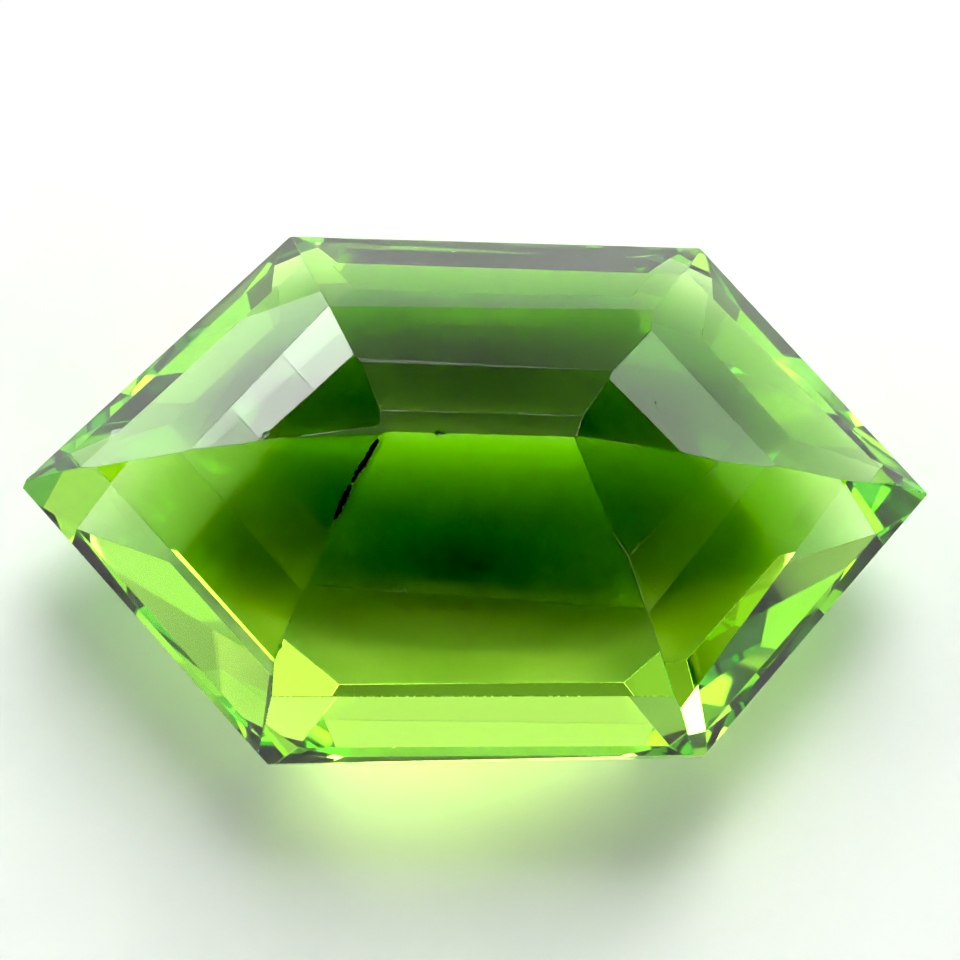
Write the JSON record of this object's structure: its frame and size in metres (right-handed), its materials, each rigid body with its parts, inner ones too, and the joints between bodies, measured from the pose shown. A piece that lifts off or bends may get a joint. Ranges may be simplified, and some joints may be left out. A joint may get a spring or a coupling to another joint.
{
  "type": "fancy cut peridot",
  "caption": "Long hexagonal step-cut gemstone in clear yellow-green, with a flat table on one side and stepped facets rising to a short keel, to be set in a jewellery mount.",
  "frame": {"origin": "on the table facet, under the middle of the stone's length and width", "axes": "+X along the stone's length, +Y towards the long side with the facet beside the keel, +Z out of the stone from the table up to the keel, so the stone lies face down"},
  "size_m": [0.012, 0.0072, 0.0049],
  "materials": {
    "peridot": "polished"
  },
  "bodies": {
    "root": {"peridot": "peridot"}
  },
  "joints": []
}
